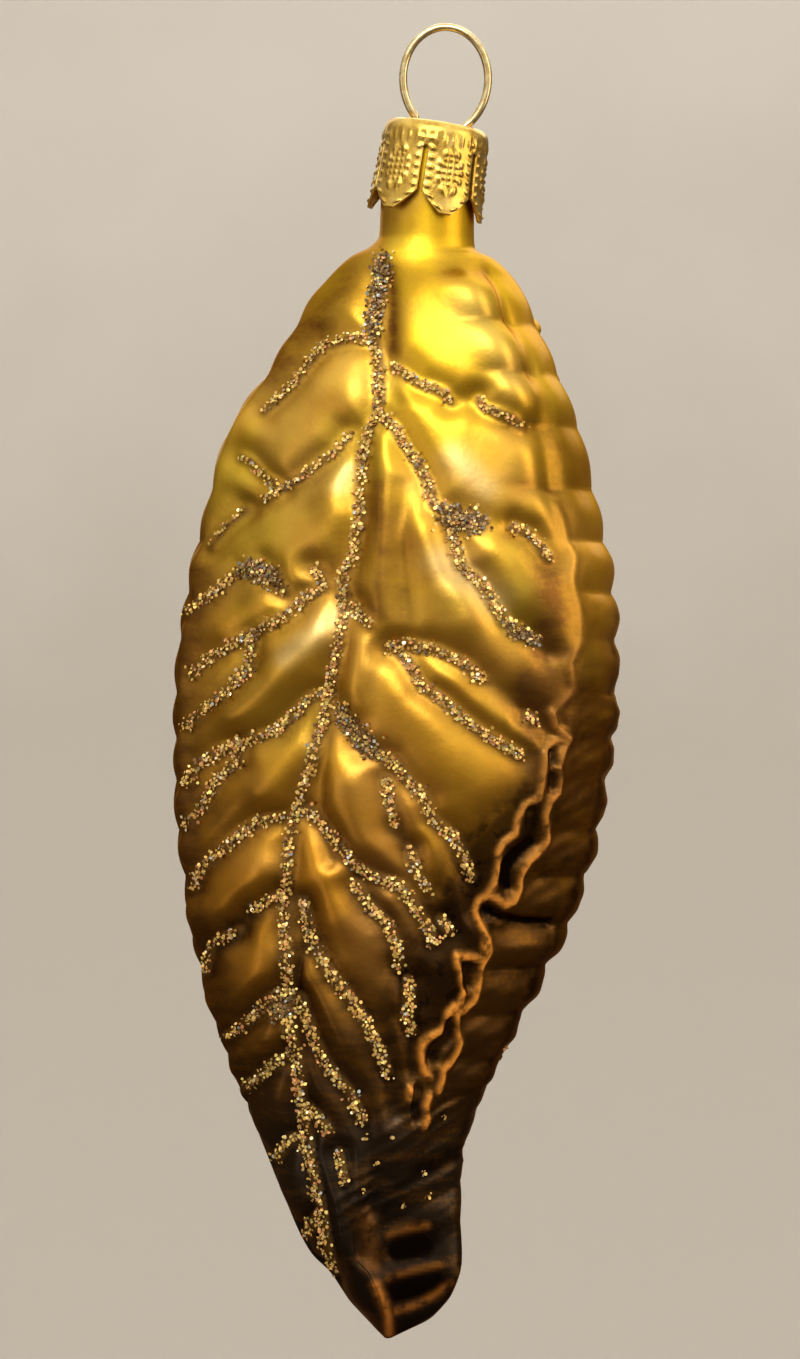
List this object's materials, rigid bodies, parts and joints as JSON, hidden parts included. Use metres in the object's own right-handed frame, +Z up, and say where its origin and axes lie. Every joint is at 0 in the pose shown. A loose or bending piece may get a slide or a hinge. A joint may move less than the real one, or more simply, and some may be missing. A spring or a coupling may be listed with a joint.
{
  "type": "glass leaf ornament",
  "caption": "Mouth-blown glass leaf ornament, gold to dark brown, with glittered veins, a stamped metal crown cap and a wire ring to hang it by.",
  "frame": {"origin": "hook point: the inner top of the hanger's ring, where a hook carries the ornament", "axes": "+Z up along the hanging leaf, +X to the leaf's waved margin, -Y out of the leaf's face"},
  "size_m": [0.0444, 0.0263, 0.1315],
  "materials": {
    "lacquered_glass": "satin lacquer, gold at the neck to dark brown at the tip",
    "gilt_metal": "stamped, bright gilt",
    "hanger_wire": "bright, brassy",
    "glitter": "loose champagne glitter flakes in clear glue"
  },
  "bodies": {
    "root": {"glass_leaf": "lacquered_glass", "crown_cap": "gilt_metal", "wire_hanger": "hanger_wire"}
  },
  "joints": []
}
